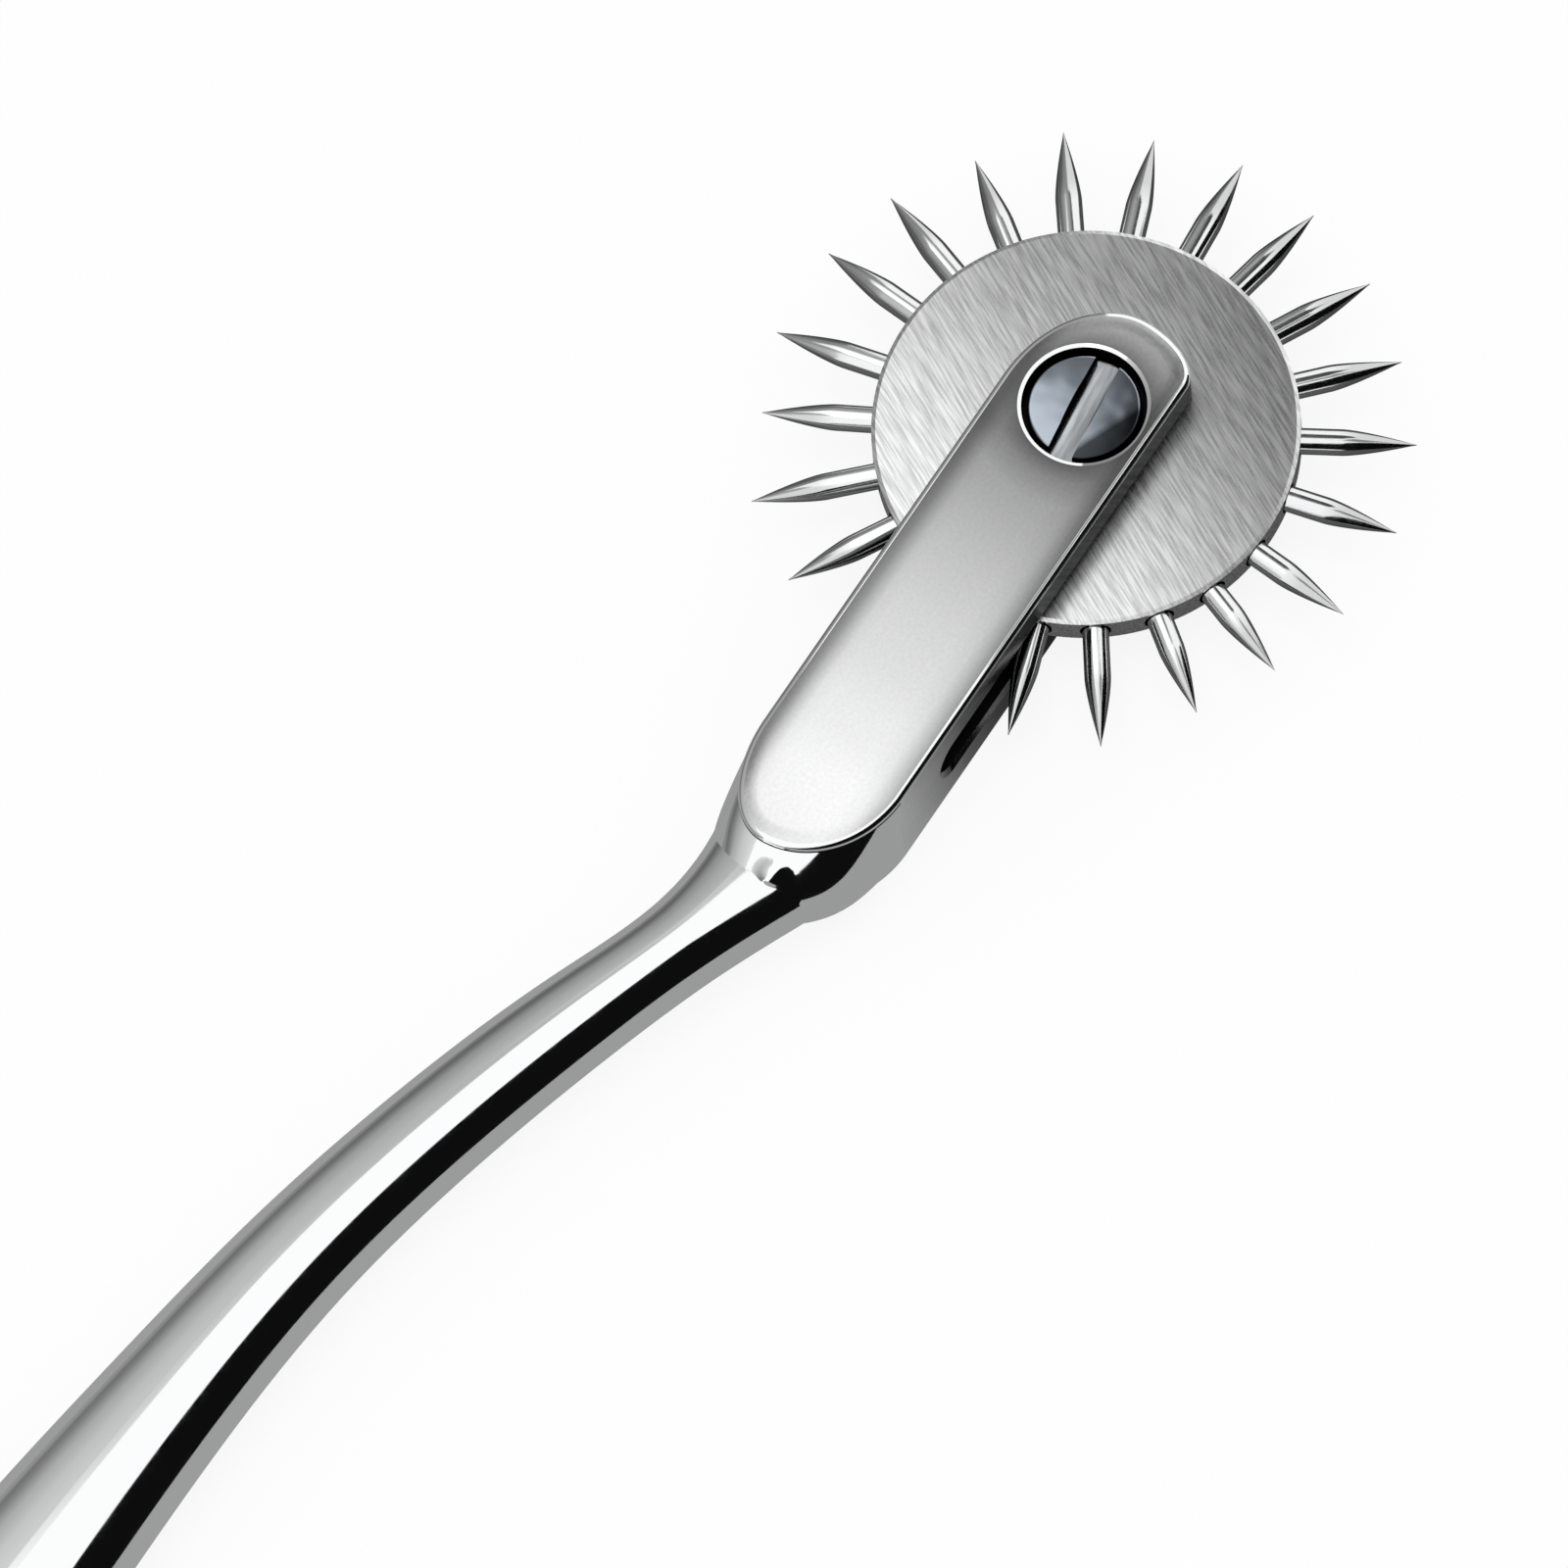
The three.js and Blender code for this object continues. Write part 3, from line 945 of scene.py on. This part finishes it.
slot_floor = head_rim + head_dome - driver_slot_depth
bpy.ops.object.select_all(action="DESELECT")
bpy.ops.mesh.primitive_cube_add(size=mm, location=hub)
blade = bpy.context.object
blade_height = driver_slot_depth - driver_slot_chamfer
blade.scale = (2 * (head_radius + overrun), driver_slot_width, blade_height)
blade.location = place(0, 0, slot_floor + blade_height / 2)
blade.rotation_euler = (0, 0, driver_slot_turn)
bpy.ops.object.transform_apply(location=False, rotation=False, scale=True)
start_edit(blade)
pick("FACE", lambda f: f.normal.z > level_share)
extrude(0, 0, overrun)
grow = (driver_slot_width + 2 * overrun) / driver_slot_width
bpy.ops.transform.resize(value=(grow, grow, 1), center_override=blade.location)
end_edit()
combine(screw, blade, "DIFFERENCE")
axle_screw = settle(screw, "slotted_screw")
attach(axle_screw, "handle")
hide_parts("axle_screw")

# %% [markdown]
# ## The steel finishes
# The handle and pins are mirror polished, the cheeks satin, and the disc brushed in one direction. The
# screw's head is bluish with soft clouds, and its slot's floor is streaked. Steel's colour comes from its
# reflection, so each finish is a metal whose roughness and tiny bumps carry the grain: noise stretched
# along the brushing makes strokes, and even noise makes satin. Shade is painted into the colour too: the
# greys on the cheeks, the fork's sides and the pins' points are painted shade, the slot's floor darkens
# towards one wall as painted shade, and the screw head's dark corner is a painted reflection. The walls of
# the slot, the counterbore, the pins' holes and the driver slot, and a strip under the rim at the root,
# are near-black painted shade.


# %% Finish maker
# Most of the noise's values lie between these two.
noise_span = (0.35, 0.65)


def steel(name, colour, roughness, grain, depth, spread=0.0, stain=0.0, turn=0.0, edge=1.0, detail=3.0):
    """A metal with grain, and what fade needs to shade it.

    The grain is given as the noise cells in a millimetre along X, Y and Z, its turn round Z, and its
    depth in millimetres. Roughness and colour vary with it by spread and stain. The edge share is how
    bright the metal stays where it is seen edge on."""
    material = new_material(name)
    spot = add_node(material, "ShaderNodeTexCoord")
    aligned = add_node(
        material, "ShaderNodeMapping", Vector=spot.outputs["Object"], Rotation=(0, 0, -turn))
    scaled = add_node(material, "ShaderNodeMapping", Vector=aligned.outputs[0], Scale=Vector(grain) / mm)
    noise = add_node(material, "ShaderNodeTexNoise", Vector=scaled.outputs[0], Scale=1.0, Detail=detail)
    height = noise.outputs["Fac"]
    rough = remapped(material, height, noise_span, (roughness - spread, roughness + spread))
    shade = multiplied(material, Vector(colour), remapped(material, height, noise_span, (1 - stain, 1)))
    bump = add_node(material, "ShaderNodeBump", Height=height, Strength=1.0, Distance=depth * mm)
    metal = add_node(
        material, "ShaderNodeBsdfPrincipled", Metallic=1.0, Roughness=rough, Normal=bump.outputs[0])
    material.node_tree.links.new(shade, metal.inputs["Base Color"])
    metal.inputs["Specular Tint"].default_value = (edge, edge, edge, 1)
    add_node(material, "ShaderNodeOutputMaterial", Surface=metal.outputs[0])
    return material, metal, shade


def fade(finish, direction, stops):
    """Shades a finish along a direction, or outwards from the wheel's axis where that is None.

    Each stop is its millimetres from the wheel's middle and the share of the colour there."""
    material, metal, colour = finish
    faded = multiplied(material, colour, shaded_along(material, direction, stops))
    material.node_tree.links.new(faded, metal.inputs["Base Color"])
    return material, metal, faded


# %% Finishes
polished = steel(
    "polished_steel", (0.97, 0.975, 0.98), roughness=0.07, grain=(0.9, 0.9, 0.9), depth=0.0004,
    spread=0.015)

satin = steel(
    "satin_cheek_painted_shade", (0.97, 0.973, 0.975), roughness=0.32, grain=(5, 5, 5), depth=0.0004, spread=0.02,
    stain=0.09, detail=4.0)
# Painted shade: the cheek's colour darkens from the root towards the screw, towards its two long edges, and
# in a ring round the counterbore.
satin = fade(satin, along_x, [
    (-26, 1.0), (-23, 0.93), (-21, 0.83), (-19, 0.77), (-17, 0.69), (-13.3, 0.61), (-9.5, 0.51),
    (-5.7, 0.41), (-3, 0.36), (0, 0.65), (4.3, 0.95)])
satin = fade(satin, along_y, [
    (-3.7, 0.5), (-3, 0.68), (-2.4, 0.92), (-1.5, 1.0), (2.2, 1.0), (2.8, 0.94), (3.2, 0.7), (3.6, 0.46),
    (4.1, 0.4)])
satin = fade(satin, None, [(0, 0.4), (3.3, 0.4), (4.2, 0.75), (5.6, 1.0), (60, 1.0)])

brushed = steel(
    "brushed_disc_steel", (0.97, 0.973, 0.977), roughness=0.28, grain=(0.5, 8, 8), depth=0.0001,
    spread=0.01, stain=0.4, turn=math.radians(62))

pin_polish_and_painted_shade = steel(
    "pin_steel", (0.9, 0.905, 0.91), roughness=0.12, grain=(2.5, 2.5, 2.5), depth=0.0008, spread=0.03,
    edge=0.5)
# Painted shade: the pins' points are darker than their stems.
pin_polish_and_painted_shade = fade(pin_polish_and_painted_shade, None, [(0, 1.0), (12.2, 1.0), (13.4, 0.74), (17, 0.7)])

screw_polish_and_painted_reflection = steel(
    "screw_steel", (0.42, 0.47, 0.53), roughness=0.16, grain=(0.55, 0.55, 0.55), depth=0.1, spread=0.05,
    edge=0.3, detail=1.0)
# Painted reflection: one corner of the head fades nearly black.
screw_polish_and_painted_reflection = fade(
    screw_polish_and_painted_reflection, (-0.4, -0.92, 0), [(-2.8, 1.0), (0.5, 0.95), (1.4, 0.7), (1.75, 0.12), (2.8, 0.06)])

slot_floor_painted_shade_steel = steel(
    "slot_floor_painted_shade_steel", (0.9, 0.94, 0.97), roughness=0.14, grain=(0.4, 3, 3), depth=0.0004, spread=0.03,
    stain=0.4, turn=driver_slot_turn)
# The floor's steel is lighter than the head's, and it darkens towards one wall as painted shade.
slot_floor_painted_shade_steel = fade(
    slot_floor_painted_shade_steel, (0.1, 1, 0), [(-0.65, 0.45), (-0.1, 0.7), (0.3, 1.0), (0.65, 1.0)])

side_wall_painted_shade = steel(
    "side_painted_shade_steel", (0.9, 0.905, 0.92), roughness=0.2, grain=(0.5, 6, 6), depth=0.002, spread=0.05, stain=0.2,
    edge=0.4)
# Painted shade: the fork's sides darken from where the darker sides start towards the tip.
side_wall_painted_shade = fade(side_wall_painted_shade, along_x, [(painted_shade_side_start, 0.86), (-12, 0.4), (-8, 0.18), (5, 0.18)])

root_wall_painted_shade = steel(
    "root_side_painted_shade_steel", (0.95, 0.955, 0.965), roughness=0.15, grain=(0.5, 6, 6), depth=0.001, spread=0.04,
    stain=0.1)
# Painted shade: the sides by the root darken from the root's end towards the start of the darker sides.
root_wall_painted_shade = fade(root_wall_painted_shade, along_x, [(root_start, 1.0), (-20, 0.74), (painted_shade_side_start, 0.28)])

# Painted shade: a near-black steel stands for the shade in the fork's slot, the counterbore, a strip under
# the rim at the root, the pins' holes and the driver slot's walls. The real walls are plain steel.
painted_recess_shade = steel(
    "painted_recess_shade_steel", (0.02, 0.02, 0.022), roughness=0.5, grain=(1, 1, 1), depth=0.0001, spread=0.02,
    stain=0.1, edge=0.08)


# %% Which face has which finish
def fork_finish(face):
    """By where a face of the forging is and which way it faces."""
    x, y, z = (face.center - hub) / mm
    half_slot = slot_width / 2
    if x < -root_reach - overrun:
        return "polished"
    between_sides = abs(y - fork_offset) < half_width - slot_chamfer
    in_slot = between_sides and abs(z) < half_slot + slack and x > -slot_reach - slack
    in_counterbore = math.hypot(x, y) < counterbore_radius + slack and abs(z) > half_slot
    under_rim = x < root_start and root_top < z < half_thickness - crown_rise - rim_round
    # Faces in the slot, the counterbore and under the rim at the root get the near-black painted shade.
    if in_slot or in_counterbore or under_rim:
        return "painted_recess_shade"
    if abs(face.normal.z) > level_share and abs(z) > half_thickness - crown_rise - slack:
        return "satin"
    chamfered = abs(z) < half_slot + slot_chamfer + slack and x > -slot_reach - slot_chamfer - slack
    if x > root_start - slack and (chamfered or abs(face.normal.z) < upright_share):
        return "side" if x > painted_shade_side_start else "root side"
    return "polished"


def disc_finish(face):
    """Painted shade in the pins' holes, brushed steel elsewhere."""
    spot = (face.center - hub) / mm
    hole_floor = pin_foot - hole_clearance - slack
    in_hole = abs(spot.z) < pin_radius + slack and hole_floor < spot.xy.length < disc_radius - slack
    return "painted_recess_shade" if in_hole else "brushed"


def screw_finish(face):
    """Bright steel on the driver slot's floor and painted shade on its walls."""
    spot = (face.center - hub) / mm
    if abs(spot.z - slot_floor) < slack:
        return "slot floor"
    upright = abs(face.normal.z) < upright_share
    return "painted_recess_shade" if upright and spot.z > slot_floor and spot.xy.length < dome_radius else "polished"


def dress(piece, finishes, finish_of):
    """Gives each face of a piece the finish that finish_of(face) names."""
    piece.data.materials.clear()
    for material, _, _ in finishes.values():
        piece.data.materials.append(material)
    names = list(finishes)
    for face in piece.data.polygons:
        face.material_index = names.index(finish_of(face))


# %% Dress the pieces
dress(fork_handle, {
    "polished": polished, "satin": satin, "side": side_wall_painted_shade, "root side": root_wall_painted_shade, "painted_recess_shade": painted_recess_shade,
}, fork_finish)
dress(wheel_disc, {"brushed": brushed, "painted_recess_shade": painted_recess_shade}, disc_finish)
dress(axle_screw, {
    "polished": screw_polish_and_painted_reflection, "painted_recess_shade": painted_recess_shade, "slot floor": slot_floor_painted_shade_steel,
}, screw_finish)
for pin in pins:
    dress(pin, {"polished": pin_polish_and_painted_shade}, lambda face: "polished")
